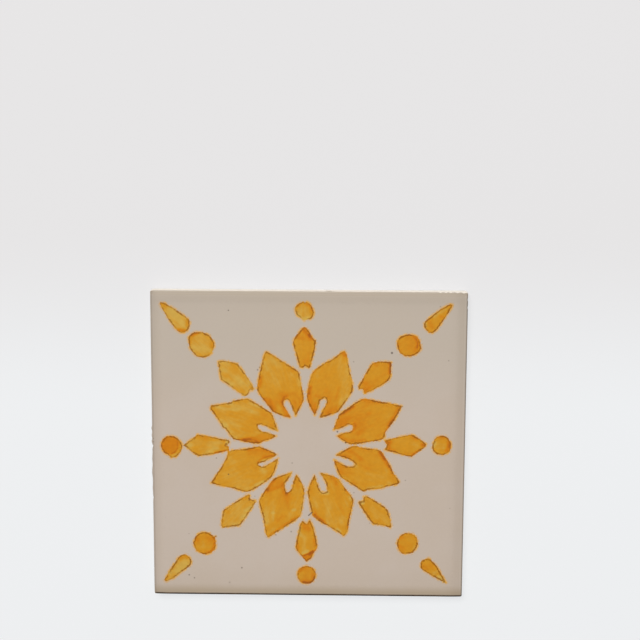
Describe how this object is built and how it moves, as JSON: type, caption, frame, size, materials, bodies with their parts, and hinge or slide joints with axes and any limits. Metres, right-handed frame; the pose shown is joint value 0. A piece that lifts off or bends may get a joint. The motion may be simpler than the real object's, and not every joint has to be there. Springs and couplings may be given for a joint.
{
  "type": "azulejo tile",
  "caption": "Square glazed earthenware wall tile with a painted ochre rosette, edges that roll off softly, drafted sides and a back of shallow pockets that keys into mortar.",
  "frame": {"origin": "middle of the keyed back, on the crossing of its two middle ribs, where the tile rests", "axes": "+Z out of the glazed face, +Y towards the ornament's top edge as pictured, +X to its right"},
  "size_m": [0.14, 0.14, 0.008],
  "materials": {
    "glazed_earthenware": "glossy greige tin glaze with a hand-painted ochre ornament on the face, bare matt cream biscuit on the sides' foot and the back"
  },
  "bodies": {
    "root": {"tile": "glazed_earthenware"}
  },
  "joints": []
}
